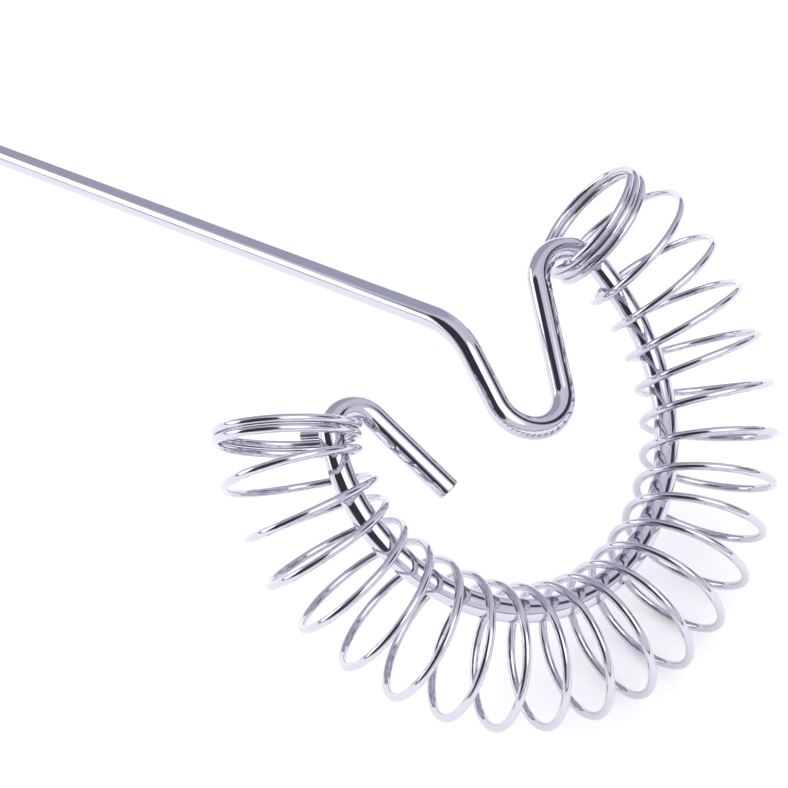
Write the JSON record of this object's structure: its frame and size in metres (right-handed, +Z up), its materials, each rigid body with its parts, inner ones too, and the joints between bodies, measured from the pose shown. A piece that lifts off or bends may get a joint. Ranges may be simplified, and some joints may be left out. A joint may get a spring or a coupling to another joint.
{
  "type": "coil whisk",
  "caption": "Spring coil whisk: one bent polished steel rod with a hanging eye, a straight handle and a C-shaped head, and a loose coil spring threaded on the head.",
  "frame": {"origin": "on the table, under the middle of the whisk as it lies on its hanging eye and the far turns of its spring", "axes": "+X from the hanging eye towards the head, +Z up"},
  "size_m": [0.1914, 0.0628, 0.0366],
  "materials": {
    "rod_steel": "mirror-polished stainless rod",
    "wire_steel": "bright drawn stainless wire"
  },
  "bodies": {
    "rod": {"frame_rod": "rod_steel"},
    "spring": {"coil_spring": "wire_steel"}
  },
  "joints": [
    {"name": "spring_creep", "type": "hinge", "parent": "rod", "child": "spring", "pos_m": [0.06963, -0.00225, 0.0216], "axis": [0.5397, 0.153, 0.8279], "range_deg": [-0.8, 0.4]}
  ]
}
